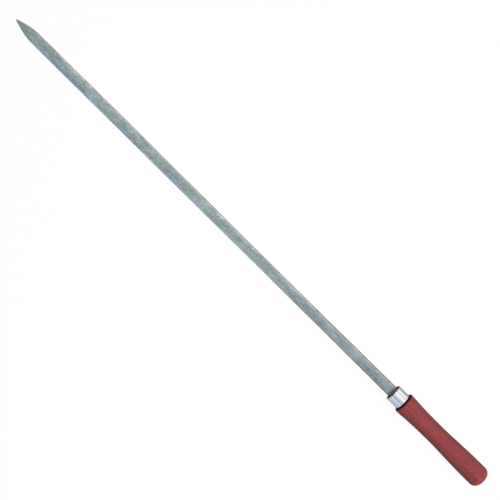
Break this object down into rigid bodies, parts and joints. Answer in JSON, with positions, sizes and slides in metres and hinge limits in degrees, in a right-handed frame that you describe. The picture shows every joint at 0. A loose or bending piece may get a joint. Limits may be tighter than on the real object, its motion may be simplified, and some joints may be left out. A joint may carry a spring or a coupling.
{
  "type": "flat skewer",
  "caption": "Long flat steel barbecue skewer with a sharp ogive point, a bright metal ferrule and a waisted turned wooden handle.",
  "frame": {"origin": "on the long axis, where the ferrule's rear edge meets the handle's shoulder", "axes": "+X along the long axis towards the point, +Z square to the strip's flat face"},
  "size_m": [0.75, 0.0258, 0.026],
  "materials": {
    "strip_steel": "dull mottled zinc-coated steel, darker at the point",
    "ferrule_metal": "bright plated, softly polished",
    "handle_wood": "stained reddish brown, satin, dark end grain at the shoulder"
  },
  "bodies": {
    "root": {"blade": "strip_steel", "ferrule": "ferrule_metal", "handle": "handle_wood"}
  },
  "joints": []
}
